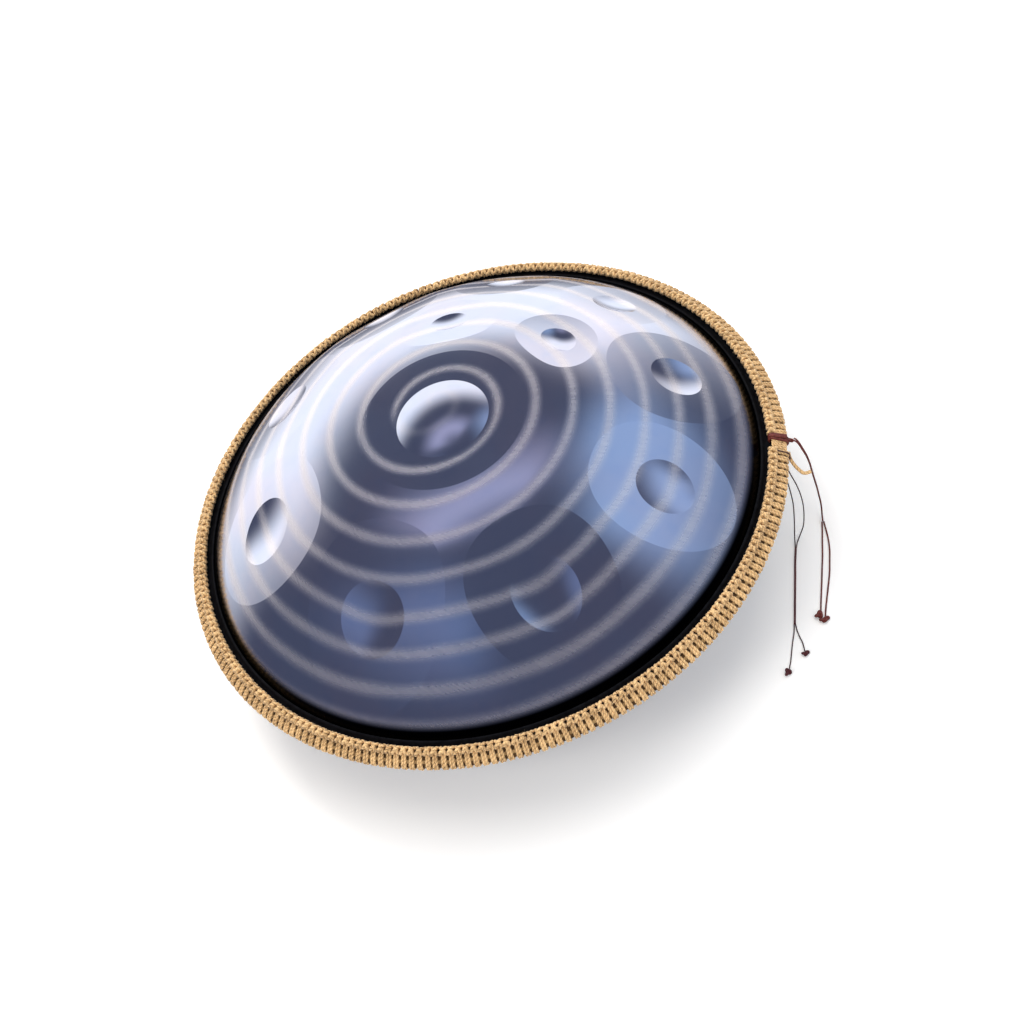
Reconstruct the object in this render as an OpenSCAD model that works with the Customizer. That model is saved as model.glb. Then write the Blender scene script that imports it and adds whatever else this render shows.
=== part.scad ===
// Handpan: two steel bowls glued rim to rim, a rubber trim and a knotted rope band round the joint,
// and two hanging laces tied to the band. The pan stands ding up, on the land round its sound hole.

/* [Pan] */
// Radius of the foot of the bowls' skirts, where they turn out into the flange
foot_r = 258; // [257:0.1:259]
// Radius of the flanges' edge
flange_r = 269; // [268:0.1:269.5]
// Thickness of the sheet steel
steel_t = 1.2; // [0.9:0.1:1.4]
// Radius of the bend between a skirt and its flange
bend_r = 8; // [7:0.1:8]
// Thickness of the glue line between the two flanges
glue_t = 0.6; // [0.4:0.1:0.8]

/* [Top bowl] */
// Arc radius of the crown round the ding
top_crown_r = 730; // [700:10:800]
// Slope at the crown's edge, in degrees
top_crown_a = 5.5; // [5:0.1:6]
// Arc radius of the shoulder
top_shoulder_r = 240; // [235:1:245]
// Slope where the shoulder runs into the skirt, in degrees
top_shoulder_a = 40; // [39:0.5:41]
// Arc radius of the skirt
top_skirt_r = 340; // [330:5:360]

/* [Bottom bowl] */
// Arc radius of the bottom's crown
low_crown_r = 900; // [860:10:1000]
// Slope at the edge of the bottom's crown, in degrees
low_crown_a = 6; // [5.5:0.1:6.5]
// Arc radius of the bottom's shoulder
low_shoulder_r = 215; // [210:1:220]
// Slope where the bottom's shoulder runs into its skirt, in degrees
low_shoulder_a = 38; // [37:0.5:39]
// Arc radius of the bottom's skirt
low_skirt_r = 340; // [330:5:360]
// Radius of the sound hole
hole_r = 49; // [46:0.5:50]
// Depth of the sound hole's neck, from the land
neck_depth = 23; // [16:1:30]
// Radius of the roll at the mouth of the sound hole
roll_r = 7; // [5:0.5:8]
// Width of the flat land that the pan stands on
land_w = 4; // [3:0.5:6]

/* [Tone fields] */
// Depth that each tone field is flattened by at its middle
field_depth = 3; // [2:0.1:4]
// Depth of a field's dimple as a share of its half width
dimple_share = 0.17; // [0.1:0.01:0.2]
// Radius of the flattened field round the ding
ding_field_r = 76; // [70:1:86]
// Radius of the ding
ding_r = 42; // [36:1:48]
// Height of the ding over its field
ding_h = 9; // [6:0.5:12]

/* [Rim] */
// Outside radius of the rope band
band_r = 279.5; // [279:0.1:280]
// Radius of the band's inner wall
band_in_r = 263.5; // [263:0.1:264]
// Height of the rope band at its inner wall
band_h = 21.4; // [21:0.1:22]
// Radius of the band's outer edge, which its two slopes run down to
nose_r = 4.2; // [4.1:0.1:4.6]
// Radius of the band's inner corners
band_corner = 3; // [2.8:0.1:3.4]
// Radius of the two carrier cords inside the band
core_r = 2; // [1.6:0.1:2]
// Half height of the rubber trim that grips the flanges
trim_half = 4.6; // [4.2:0.1:4.8]
// Outside radius of the rubber trim
trim_r = 270.7; // [270.2:0.1:271]
// Radius of the edge of the trim's lips
lip_r = 256; // [255:0.5:256.5]
// Thickness of the trim's lips
lip_t = 2.2; // [1.6:0.1:2.4]

/* [Laces] */
// Direction of the leather lashing on the band, in degrees
lash_a = -20; // [-24:0.5:-16]
// Direction in which the waxed tie hangs, in degrees
tie_a = -27; // [-30:0.5:-25]
// Thickness of the doubled lace
lace_d = 2.6; // [2:0.1:2.6]
// Thickness of one strand of the lace
strand_d = 1.5; // [1:0.1:1.5]
// Thickness of the whipped part of the tie
whip_d = 2; // [1.6:0.1:2]
// Thickness of one strand of the tie
tie_d = 1.1; // [0.8:0.1:1.1]
// Thickness of the rope's loose end
tail_d = 3.2; // [2.6:0.1:3.2]

/* [Hidden] */
$fn = 180;

STEEL = "#48547a";
GLUE = "#3a3d42";
RUBBER = "#16171a";
CORE = "#b89058";
ROPE = "#cda569";
LACE = "#6b2f24";
TIE = "#40292c";

// Tone fields round the ding: direction, distance from the top along the meridian, half length along
// the meridian, half width across it, then the half length and the half width of the dimple
FIELDS = [
    [225, 194, 88, 67, 34, 31],
    [274, 198, 76, 64, 34, 29],
    [317, 211, 70, 56, 28, 24],
    [353, 218, 66, 57, 25, 23],
    [26, 225, 54, 46, 21, 20],
    [58, 222, 52, 45, 20, 18],
    [92, 216, 62, 56, 24, 22],
    [130, 205, 66, 62, 28, 25],
    [175, 197, 74, 64, 33, 29],
    [17, 131, 33, 41, 14, 18],
    [69, 126, 36, 46, 14, 18]
];

// Routes of the laces. A point is [distance from the pan's axis, distance to the side, height],
// seen in the direction of the lashing for the lace and the rope's end, and of the tie for the tie.
LACE_STEM = [[284, 1.7, 102.6], [285.6, 1.2, 101.6], [287.4, 0, 98.8], [289.5, -3, 93.5],
             [291.5, -5.5, 86], [292.5, -7.5, 77], [292.5, -9, 67], [292.5, -10, 56],
             [292.5, -10.5, 45], [292, -10.5, 33],
             [291.5, -10, 22], [290.5, -10, 12], [289.5, -11.5, 5.5], [289, -16.5, 1.5]];
LACE_LEFT = [[288.2, -17, 1.4], [287.5, -26, 0.8], [286.5, -37, 0.8], [285, -55, 0.8], [283.5, -67, 0.8],
             [282, -80, 0.8], [280.5, -92, 0.8], [279, -104, 0.8], [278, -114, 1.5]];
LACE_RIGHT = [[289.8, -17, 1.4], [291, -27, 0.8], [292, -38, 0.8], [292, -49, 0.8], [291, -60, 0.8],
              [289.5, -74, 0.8], [287, -88, 0.8], [284.5, -101, 0.8], [282.5, -112, 0.8],
              [281.5, -120, 1.5]];
TIE_LEFT = [[272, 16.6, 95.9], [272.3, 12, 94.5], [273.2, 6, 89], [274.2, 2.5, 81], [274, 1, 66],
            [273, 1, 54], [269.5, 1, 32], [266.5, 1, 16], [264.5, 0, 5], [264.3, -4, 1], [264.5, -7.5, 1]];
TIE_RIGHT = [[273.6, 16.8, 95.3], [275.3, 12, 94], [277.6, 7.5, 90], [280, 4.3, 84], [281.5, 2.5, 76],
             [282, 2, 66], [281, 3, 50], [278.5, 4, 34], [275, 5.5, 18], [271.5, 6, 8], [268, 3, 2.2],
             [266, -3, 1], [265.6, -7.5, 1]];
TIE_STEM = [[265, -7.5, 1], [265, -22, 1], [265.5, -38, 1], [266, -55, 1], [266.5, -73, 1], [267, -90, 1]];
TIE_TAIL_LEFT = [[266.4, -90, 1], [266.5, -98, 0.6], [265.5, -110, 0.6], [265, -120, 0.6],
                 [264.5, -129, 0.6], [263.7, -137.5, 1.5]];
TIE_TAIL_RIGHT = [[267.6, -90, 1], [269, -96, 0.6], [271.5, -103, 0.6], [274.5, -110, 0.6],
                  [277, -119.5, 1.5]];
ROPE_TAIL = [[278, -9, 99], [278.5, -14, 98.5], [280, -19, 98], [282, -23, 97], [285, -27, 95],
             [288, -29.5, 93], [291, -29.5, 92], [294.5, -28, 91]];

// A bowl is [crown radius, crown slope, shoulder radius, shoulder slope, skirt radius]
TOP = [top_crown_r, top_crown_a, top_shoulder_r, top_shoulder_a, top_skirt_r];
LOW = [low_crown_r, low_crown_a, low_shoulder_r, low_shoulder_a, low_skirt_r];
// Steps in which the crown, the shoulder, the skirt and the bend are drawn
STEPS = [5, 10, 5, 3];
// Number of sectors that the top bowl's surface is panelled into
SECTORS = 108;
// Sides of a lace's tube
SIDES = 8;

// ---- outline of a bowl, over the middle of the joint ----
flange_z = glue_t / 2 + steel_t;
function dir(a) = [sin(a), cos(a)];
function foot_a(b) = asin(sin(b[3]) + (foot_r - (b[0] - b[2]) * sin(b[1]) - b[2] * sin(b[3])) / b[4]);
function foot_z(b) = flange_z + bend_r * (1 - cos(foot_a(b)));
function rise(b) = foot_z(b) + b[4] * (cos(b[3]) - cos(foot_a(b))) + b[2] * (cos(b[1]) - cos(b[3]))
                   + b[0] * (1 - cos(b[1]));
function crown_c(b) = [0, rise(b) - b[0]];
function shoulder_c(b) = crown_c(b) + (b[0] - b[2]) * dir(b[1]);
function skirt_c(b) = shoulder_c(b) + (b[2] - b[4]) * dir(b[3]);
function bend_c(b) = [foot_r, foot_z(b)] + bend_r * dir(foot_a(b));

// A point of an outline is [radius, height, slope]. An arc leaves out its first point.
function at(c, r, a) = concat(c + r * dir(a), [a]);
function arc(c, r, a0, a1, n) = [for (i = [1 : n]) at(c, r, a0 + (a1 - a0) * i / n)];
function bend(b) = arc(bend_c(b), -bend_r, foot_a(b), 0, STEPS[3]);
function outline(b, a0) = concat(
    arc(crown_c(b), b[0], a0, b[1], STEPS[0]),
    arc(shoulder_c(b), b[2], b[1], b[3], STEPS[1]),
    arc(skirt_c(b), b[4], b[3], foot_a(b), STEPS[2]),
    bend(b),
    [[flange_r, flange_z, 0]]);
function flat(line) = [for (p = line) [p[0], p[1]]];
function inset(line, t) = [for (p = line) [p[0], p[1]] - t * dir(p[2])];
function back(line) = [for (i = [len(line) - 1 : -1 : 0]) line[i]];
function down(line) = [for (p = line) [p[0], -p[1]]];

// Height of the joint's middle, so that the land stands on z = 0
land_in = hole_r + roll_r;
land_out = land_in + land_w;
joint_z = rise(LOW) - low_crown_r + sqrt(low_crown_r * low_crown_r - land_out * land_out);

// ---- surface of the top bowl ----
TOP_LINE = outline(TOP, 0);
function flat_step(i) = i == 0 ? TOP_LINE[0][0] : norm(flat(TOP_LINE)[i] - flat(TOP_LINE)[i - 1]);
function walk(i) = i < 0 ? 0 : walk(i - 1) + flat_step(i);
TOP_WALK = [for (i = [0 : len(TOP_LINE) - 1]) walk(i)];

function turn(a) = a - 360 * floor((a + 180) / 360);
function bulge(q) = q < 1 ? 1 - q : 0;
function total(v) = v * [for (x = v) 1];
// Depth of one tone field and its dimple at distance s down the meridian in direction a
function field(f, s, r, a) =
    let (u = s - f[1], v = r * turn(a - f[0]) * PI / 180)
    field_depth * bulge(pow(u / f[2], 2) + pow(v / f[3], 2))
    + dimple_share * f[5] * bulge(pow(u / f[4], 2) + pow(v / f[5], 2));
function sink(s, r, a) = total([for (f = FIELDS) field(f, s, r, a)])
                         + field_depth * bulge(pow(s / ding_field_r, 2)) - ding_h * bulge(pow(s / ding_r, 2));
function shell_point(i, a, t) =
    let (p = TOP_LINE[i], q = [p[0], p[1]] - (sink(TOP_WALK[i], p[0], a) + t) * dir(p[2]))
    [q[0] * cos(a), q[0] * sin(a), q[1]];

// ---- laces ----
function unit(v) = v / norm(v);
function heading(p, i) = unit(p[min(i + 1, len(p) - 1)] - p[max(i - 1, 0)]);
function square_to(v, t) = unit(v - (v * t) * t);
function side(p, i) = square_to(i == 0 ? [0.4, 0.3, 1] : side(p, i - 1), heading(p, i));

// Tube of thickness d along the route p
module tube(p, d) {
    last = len(p) - 1;
    points = [for (i = [0 : last]) let (n = side(p, i), m = cross(heading(p, i), n))
              for (k = [0 : SIDES - 1]) let (a = 360 * k / SIDES) p[i] + d / 2 * (cos(a) * n + sin(a) * m)];
    walls = [for (i = [0 : last - 1]) for (k = [0 : SIDES - 1])
             let (j = i * SIDES, n = (k + 1) % SIDES)
             each [[j + k, j + SIDES + k, j + SIDES + n], [j + k, j + SIDES + n, j + n]]];
    ends = [[for (k = [0 : SIDES - 1]) k], [for (k = [SIDES - 1 : -1 : 0]) last * SIDES + k]];
    polyhedron(points, concat(walls, ends), convexity = 10);
}

// An end knot: two lobes of radius r, side by side at p
module knot(p, r, spread, a) {
    translate(p) rotate([0, 0, a]) {
        translate([-spread, 0, 0]) sphere(r = r, $fn = 48);
        translate([spread, 0, 0]) sphere(r = r, $fn = 48);
    }
}

module lace_frame() { rotate([0, 0, lash_a]) children(); }
module tie_frame() { rotate([0, 0, tie_a]) children(); }

// ---- bowls ----
module top_shell() {
    last = len(TOP_LINE) - 1;
    pole = rise(TOP) - field_depth + ding_h;
    skins = [for (t = [0, steel_t]) for (i = [0 : last]) for (k = [0 : SECTORS - 1])
             shell_point(i, 360 * k / SECTORS, t)];
    points = concat([[0, 0, pole], [0, 0, pole - steel_t]], skins);
    outer = function (i, k) 2 + i * SECTORS + k % SECTORS;
    inner = function (i, k) outer(last + 1 + i, k);
    faces = [for (k = [0 : SECTORS - 1]) each concat(
        [[0, outer(0, k + 1), outer(0, k)], [1, inner(0, k), inner(0, k + 1)]],
        [for (i = [0 : last - 1]) each [
            [outer(i, k), outer(i, k + 1), outer(i + 1, k + 1)],
            [outer(i, k), outer(i + 1, k + 1), outer(i + 1, k)],
            [inner(i, k), inner(i + 1, k + 1), inner(i, k + 1)],
            [inner(i, k), inner(i + 1, k), inner(i + 1, k + 1)]]],
        [[outer(last, k), outer(last, k + 1), inner(last, k + 1)],
         [outer(last, k), inner(last, k + 1), inner(last, k)]])];
    color(STEEL) translate([0, 0, joint_z]) polyhedron(points, faces, convexity = 4);
}

// The bottom bowl's wall: up the neck, round the roll, over the land and out to the flange
module bottom_shell() {
    line = concat(
        [[hole_r, joint_z - neck_depth, -90]],
        [at([land_in, joint_z - roll_r], roll_r, -90)],
        arc([land_in, joint_z - roll_r], roll_r, -90, 0, 6),
        [[land_out, joint_z, 0]],
        outline(LOW, asin(land_out / low_crown_r)));
    color(STEEL) translate([0, 0, joint_z])
        rotate_extrude() polygon(down(concat(flat(line), back(inset(line, steel_t)))));
}

module seam_glue() {
    inner_r = bend_c(TOP)[0];
    color(GLUE) translate([0, 0, joint_z - glue_t / 2]) difference() {
        cylinder(h = glue_t, r = flange_r);
        translate([0, 0, -1]) cylinder(h = glue_t + 2, r = inner_r);
    }
}

// ---- rim ----
function lip_a(b) = asin((lip_r - skirt_c(b)[0]) / b[4]);
function lip_in(b) = concat(
    [at(skirt_c(b), b[4], lip_a(b))],
    arc(skirt_c(b), b[4], lip_a(b), foot_a(b), 2),
    bend(b),
    [[flange_r, flange_z, 0]]);
function lip_out(b) = concat(
    arc(skirt_c(b), b[4] + lip_t, lip_a(b), foot_a(b), 3),
    [[band_in_r, trim_half, 0], [trim_r, trim_half, 0]]);

// A rubber channel pushed over the two flanges, with a lip against each skirt
module rim_trim() {
    color(RUBBER) translate([0, 0, joint_z]) rotate_extrude() polygon(concat(
        flat(lip_in(TOP)), down(back(lip_in(LOW))), down(lip_out(LOW)), flat(back(lip_out(TOP)))));
}

// Section of the band, shrunk by t, with a groove for the trim. The joint's middle is at height 0.
// A slope runs from each inner corner down to the rounded outer edge and touches both.
corner_c = [band_in_r + band_corner, band_h / 2 - band_corner];
edge_c = [band_r - nose_r, 0];
slope_run = edge_c - corner_c;
slope_a = atan2(slope_run[0], slope_run[1]) - acos((band_corner - nose_r) / norm(slope_run));

function edge_arc(t) = concat(
    [at(edge_c, nose_r - t, slope_a)],
    arc(edge_c, nose_r - t, slope_a, 180 - slope_a, 8));
function corner_arc(t) = concat(
    [at(corner_c, band_corner - t, -90)],
    arc(corner_c, band_corner - t, -90, slope_a, 5));

module band_section(t) {
    polygon(concat(
        flat(edge_arc(t)),
        down(back(corner_arc(t))),
        [[band_in_r + t, -trim_half], [trim_r, -trim_half], [trim_r, trim_half], [band_in_r + t, trim_half]],
        flat(corner_arc(t))));
}

// The band is one rope hitched round two carrier cords. It stops on both sides of the lashing.
GAP_FROM = lash_a - 2.4;
GAP_TO = lash_a + 0.8;
LASH_W = 1.5;
JOIN_T = 1.5;
core_out = trim_r + core_r + 0.6;
core_z = core_r + 0.2;

module core_cord(z) {
    color(CORE) translate([0, 0, joint_z])
        rotate_extrude() translate([core_out, z]) circle(r = core_r, $fn = 32);
}
module core_cord_upper() { core_cord(core_z); }
module core_cord_lower() { core_cord(-core_z); }

module band_cut() {
    translate([core_out, core_z]) circle(r = core_r, $fn = 32);
    translate([core_out, -core_z]) circle(r = core_r, $fn = 32);
}

module rope_band() {
    color(ROPE) translate([0, 0, joint_z]) rotate([0, 0, GAP_TO])
        rotate_extrude(angle = 360 + GAP_FROM - GAP_TO) difference() {
            band_section(0);
            band_cut();
        }
}

// The flat place where the rope's first and last turns lie side by side
module rope_join() {
    color(ROPE) translate([0, 0, joint_z]) rotate([0, 0, GAP_FROM])
        rotate_extrude(angle = GAP_TO - GAP_FROM) difference() {
            band_section(JOIN_T);
            band_cut();
        }
}

module rope_tail() { color(ROPE) lace_frame() tube(ROPE_TAIL, tail_d); }

// ---- leather lace ----
module lace_lashing() {
    color(LACE) translate([0, 0, joint_z]) rotate([0, 0, GAP_TO - LASH_W])
        rotate_extrude(angle = LASH_W) difference() {
            band_section(0);
            band_section(JOIN_T);
        }
}
module lace_knot() { color(LACE) lace_frame() knot([band_r + 1.4, 2, joint_z - 3], 1.9, 0.8, 90); }
module lace_stem() { color(LACE) lace_frame() tube(LACE_STEM, lace_d); }
module lace_left() { color(LACE) lace_frame() tube(LACE_LEFT, strand_d); }
module lace_right() { color(LACE) lace_frame() tube(LACE_RIGHT, strand_d); }
module lace_end_left() { color(LACE) lace_frame() knot([276.6, -117.6, 3], 3, 1.4, 60); }
module lace_end_right() { color(LACE) lace_frame() knot([281.5, -123.2, 2.6], 2.6, 2.4, 20); }

// ---- waxed tie ----
module tie_lashing() {
    color(TIE) translate([0, 0, joint_z]) rotate([0, 0, tie_a + 3.6]) rotate_extrude(angle = 0.25)
        difference() {
            intersection() {
                band_section(-tie_d);
                translate([core_out, -band_h]) square([band_h, band_h]);
            }
            band_section(0);
        }
}
module tie_knot() {
    place = edge_c + (nose_r + tie_d + 1.5) * dir(145);
    color(TIE) rotate([0, 0, tie_a + 3.7]) knot([place[0], 0, joint_z + place[1]], 1.4, 0.6, 90);
}
module tie_left() { color(TIE) tie_frame() tube(TIE_LEFT, tie_d); }
module tie_right() { color(TIE) tie_frame() tube(TIE_RIGHT, tie_d); }
module tie_stem() { color(TIE) tie_frame() tube(TIE_STEM, whip_d); }
module tie_tail_left() { color(TIE) tie_frame() tube(TIE_TAIL_LEFT, tie_d); }
module tie_tail_right() { color(TIE) tie_frame() tube(TIE_TAIL_RIGHT, tie_d); }
module tie_end_left() { color(TIE) tie_frame() knot([263, -140.4, 2.6], 2.6, 1.6, 30); }
module tie_end_right() { color(TIE) tie_frame() knot([277.8, -122.1, 2.3], 2.3, 1.8, 10); }

top_shell();
bottom_shell();
seam_glue();
rim_trim();
core_cord_upper();
core_cord_lower();
rope_band();
rope_join();
rope_tail();
lace_lashing();
lace_knot();
lace_stem();
lace_left();
lace_right();
lace_end_left();
lace_end_right();
tie_lashing();
tie_knot();
tie_left();
tie_right();
tie_stem();
tie_tail_left();
tie_tail_right();
tie_end_left();
tie_end_right();
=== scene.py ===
"""Looks of the handpan: smooth steel bowls, a hitched rope band, a rubber trim and two laces,
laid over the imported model. Lengths are written in millimetres and become metres in the meshes."""

import math

import bpy
import numpy as np
from mathutils import Matrix, Vector


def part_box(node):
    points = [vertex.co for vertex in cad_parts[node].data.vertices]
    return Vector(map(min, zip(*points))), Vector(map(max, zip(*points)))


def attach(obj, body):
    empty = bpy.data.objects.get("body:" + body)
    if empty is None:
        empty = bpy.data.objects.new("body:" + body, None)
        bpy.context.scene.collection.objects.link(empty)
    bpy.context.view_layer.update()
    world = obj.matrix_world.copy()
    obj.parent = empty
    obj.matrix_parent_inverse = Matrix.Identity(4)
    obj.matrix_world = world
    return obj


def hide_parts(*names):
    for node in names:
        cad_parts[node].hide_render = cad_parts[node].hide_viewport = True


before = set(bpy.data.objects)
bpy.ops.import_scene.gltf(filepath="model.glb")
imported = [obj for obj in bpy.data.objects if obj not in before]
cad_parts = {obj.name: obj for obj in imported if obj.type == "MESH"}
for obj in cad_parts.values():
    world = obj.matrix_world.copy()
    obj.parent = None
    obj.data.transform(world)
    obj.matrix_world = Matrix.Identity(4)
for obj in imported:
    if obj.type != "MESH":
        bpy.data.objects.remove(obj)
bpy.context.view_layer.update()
MM = 0.001
RNG = np.random.default_rng(7)


def middle(node):
    """Middle of a CAD node's box, in millimetres."""
    low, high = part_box(node)
    return (low + high) / 2 / MM


JOINT_Z = middle("seam_glue").z
BAND_H = (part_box("rope_band")[1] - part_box("rope_band")[0]).z / MM
BAND_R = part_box("rope_band")[1].y / MM
FLANGE_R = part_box("seam_glue")[1].x / MM
TRIM_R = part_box("rim_trim")[1].x / MM

# ---------------------------------------------------------------- camera
# Fitted to the outlines of the band and the top bowl in the photograph
CAMERA_DISTANCE = 2300
CAMERA_DOWN = math.radians(49.47)
CAMERA_ROLL = math.radians(-26.45)
CAMERA_LENS = 89.7
CAMERA_SHIFT = (0.0276, -0.0104)
CAMERA_AIM_Z = 102.1


def make_camera():
    """The camera looks down on the pan from the player's side, rolled as the photograph is."""
    ahead = Vector((0, math.cos(CAMERA_DOWN), -math.sin(CAMERA_DOWN)))
    right = Vector((1, 0, 0))
    up = right.cross(ahead)
    c, s = math.cos(CAMERA_ROLL), math.sin(CAMERA_ROLL)
    x, y = right * c + up * s, up * c - right * s
    data = bpy.data.cameras.new("camera")
    data.lens = CAMERA_LENS
    data.shift_x, data.shift_y = CAMERA_SHIFT
    data.clip_end = 20
    camera = bpy.data.objects.new("camera", data)
    bpy.context.scene.collection.objects.link(camera)
    turn = Matrix((x, y, -ahead)).transposed().to_4x4()
    place = Vector((0, 0, CAMERA_AIM_Z * MM)) - ahead * CAMERA_DISTANCE * MM
    camera.matrix_world = Matrix.Translation(place) @ turn
    bpy.context.scene.camera = camera
    bpy.context.scene.view_settings.view_transform = "Standard"


make_camera()


# ---------------------------------------------------------------- mesh helpers
# Length in which a ply of the rope makes one turn
PLY_LAY = 6.6


def new_mesh(name, verts, faces, uv=None, flat=False):
    """An object on the root body from millimetre points, with one UV pair per point if given."""
    mesh = bpy.data.meshes.new(name)
    mesh.from_pydata((np.asarray(verts, float) * MM).tolist(), [], [list(map(int, f)) for f in faces])
    mesh.polygons.foreach_set("use_smooth", [not flat] * len(mesh.polygons))
    if uv is not None:
        layer = mesh.uv_layers.new(name="UVMap")
        corner = np.zeros(len(mesh.loops), int)
        mesh.loops.foreach_get("vertex_index", corner)
        layer.data.foreach_set("uv", np.asarray(uv, float)[corner].ravel())
    mesh.update()
    piece = bpy.data.objects.new(name, mesh)
    bpy.context.scene.collection.objects.link(piece)
    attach(piece, "root")
    return piece


def finish_piece(piece, material, slot, *nodes):
    piece.data.materials.append(material)
    if nodes:
        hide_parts(*nodes)
    return piece


def unit(v):
    return v / np.linalg.norm(v, axis=-1, keepdims=True)


def between(points, times, x, span):
    """Each point blended into the next, as x goes from its time to the one span steps later."""
    return [((t1 - x) * a + (x - t0) * b) / (t1 - t0)
            for a, b, t0, t1 in zip(points, points[1:], times, times[span:])]


def smooth_route(points, step):
    """Points about step apart on a centripetal Catmull-Rom curve through the given ones."""
    p = np.asarray(points, float)
    p = np.vstack([2 * p[0] - p[1], p, 2 * p[-1] - p[-2]])
    out = []
    for quad in zip(p, p[1:], p[2:], p[3:]):
        t = np.cumsum([0] + [np.sqrt(np.linalg.norm(b - a)) for a, b in zip(quad, quad[1:])])
        count = max(2, int(round(np.linalg.norm(quad[2] - quad[1]) / step)))
        for x in np.linspace(t[1], t[2], count, endpoint=False):
            lines = between(quad, t, x, 1)
            curves = between(lines, t, x, 2)
            out.append(between(curves, t[1:], x, 1)[0])
    return np.array(out + [p[-2]])


def frames(path, up=(0.4, 0.3, 1)):
    """Heading, side and third direction at each point of a path, carried along without twist."""
    ahead = unit(np.gradient(path, axis=0))
    sides = []
    side = np.asarray(up, float)
    for t in ahead:
        side = side - t * (side @ t)
        side = side / np.linalg.norm(side)
        sides.append(side)
    sides = np.array(sides)
    return ahead, sides, np.cross(ahead, sides)


class Tubes:
    """Collects swept tubes into one mesh. UV is (millimetres along, turns around)."""

    def __init__(self):
        self.verts, self.faces, self.uv, self.count = [], [], [], 0

    def add(self, path, radius, sides=8, up=(0.4, 0.3, 1), u0=0.0, groove=0.0):
        """Sweeps a tube. A groove above 0 presses the seams of two plies into it, as a share of the
        radius."""
        path = np.asarray(path, float)
        n = len(path)
        _, a, b = frames(path, up)
        run = u0 + np.concatenate([[0], np.cumsum(np.linalg.norm(np.diff(path, axis=0), axis=1))])
        angle = np.broadcast_to(2 * np.pi * np.arange(sides) / sides, (n, sides))
        ply = np.abs(np.cos(angle - 2 * np.pi * run[:, None] / PLY_LAY))
        size = np.broadcast_to(np.asarray(radius, float), (n,))[:, None] * (1 - groove * (1 - ply) ** 1.5)
        ring = a[:, None] * np.cos(angle)[..., None] + b[:, None] * np.sin(angle)[..., None]
        self.verts.append((path[:, None] + ring * size[..., None]).reshape(-1, 3))
        self.uv.append(np.stack([np.repeat(run, sides), (angle / (2 * np.pi)).ravel()], 1))
        k = self.count
        i, j = np.meshgrid(np.arange(n - 1), np.arange(sides), indexing="ij")
        near, far = k + i * sides + j, k + i * sides + (j + 1) % sides
        self.faces += np.stack([near, far, far + sides, near + sides], -1).reshape(-1, 4).tolist()
        self.faces.append([k + s for s in reversed(range(sides))])
        self.faces.append([k + (n - 1) * sides + s for s in range(sides)])
        self.count += n * sides

    def build(self, name):
        return new_mesh(name, np.vstack(self.verts), self.faces, np.vstack(self.uv))


def revolve(name, outline, sectors):
    """A solid of revolution about Z from a closed outline of (radius, height) in millimetres."""
    line = np.asarray(outline, float)
    n = len(line)
    a = 2 * np.pi * np.arange(sectors) / sectors
    verts = np.stack([line[:, 0] * np.cos(a)[:, None], line[:, 0] * np.sin(a)[:, None],
                      np.broadcast_to(line[:, 1], (sectors, n))], -1).reshape(-1, 3)
    i, j = np.meshgrid(np.arange(sectors), np.arange(n), indexing="ij")
    i2, j2 = (i + 1) % sectors, (j + 1) % n
    faces = np.stack([i * n + j, i2 * n + j, i2 * n + j2, i * n + j2], -1).reshape(-1, 4)
    return new_mesh(name, verts, faces)


# ---------------------------------------------------------------- node helpers
class Nodes:
    """Short names for building a node tree."""

    def __init__(self, tree):
        self.tree = tree

    def node(self, kind, **settings):
        made = self.tree.nodes.new(kind)
        for key, value in settings.items():
            setattr(made, key, value)
        return made

    def put(self, value, socket):
        if isinstance(value, bpy.types.NodeSocket):
            self.tree.links.new(value, socket)
        else:
            socket.default_value = value

    def math(self, operation, *values, clamp=False):
        made = self.node("ShaderNodeMath", operation=operation, use_clamp=clamp)
        for value, socket in zip(values, made.inputs):
            self.put(value, socket)
        return made.outputs[0]

    def ramp(self, value, low, high, low_out=0.0, high_out=1.0):
        """Smooth step from low_out to high_out as value goes from low to high."""
        made = self.node("ShaderNodeMapRange", interpolation_type="SMOOTHSTEP")
        for v, socket in zip((value, low, high, low_out, high_out), made.inputs):
            self.put(v, socket)
        return made.outputs[0]

    def mix(self, factor, a, b, blend="MIX"):
        made = self.node("ShaderNodeMix", data_type="RGBA", blend_type=blend)
        self.put(factor, made.inputs["Factor"])
        for value, socket in ((a, made.inputs[6]), (b, made.inputs[7])):
            self.put(value if isinstance(value, bpy.types.NodeSocket) else (*value, 1), socket)
        return made.outputs[2]

    def place(self):
        """The point in the row's frame, in millimetres."""
        where = self.node("ShaderNodeTexCoord").outputs["Object"]
        made = self.node("ShaderNodeVectorMath", operation="SCALE")
        self.put(where, made.inputs[0])
        made.inputs["Scale"].default_value = 1 / MM
        return made.outputs[0]

    def split(self, vector):
        made = self.node("ShaderNodeSeparateXYZ")
        self.put(vector, made.inputs[0])
        return made.outputs

    def join(self, x, y, z=0.0):
        made = self.node("ShaderNodeCombineXYZ")
        for value, socket in zip((x, y, z), made.inputs):
            self.put(value, socket)
        return made.outputs[0]

    def add(self, a, b):
        made = self.node("ShaderNodeVectorMath", operation="ADD")
        self.put(a, made.inputs[0])
        self.put(b, made.inputs[1])
        return made.outputs[0]

    def noise(self, vector, scale, detail=2.0, roughness=0.5):
        made = self.node("ShaderNodeTexNoise")
        self.put(vector, made.inputs["Vector"])
        made.inputs["Scale"].default_value = scale
        made.inputs["Detail"].default_value = detail
        made.inputs["Roughness"].default_value = roughness
        return made.outputs["Fac"]


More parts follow.
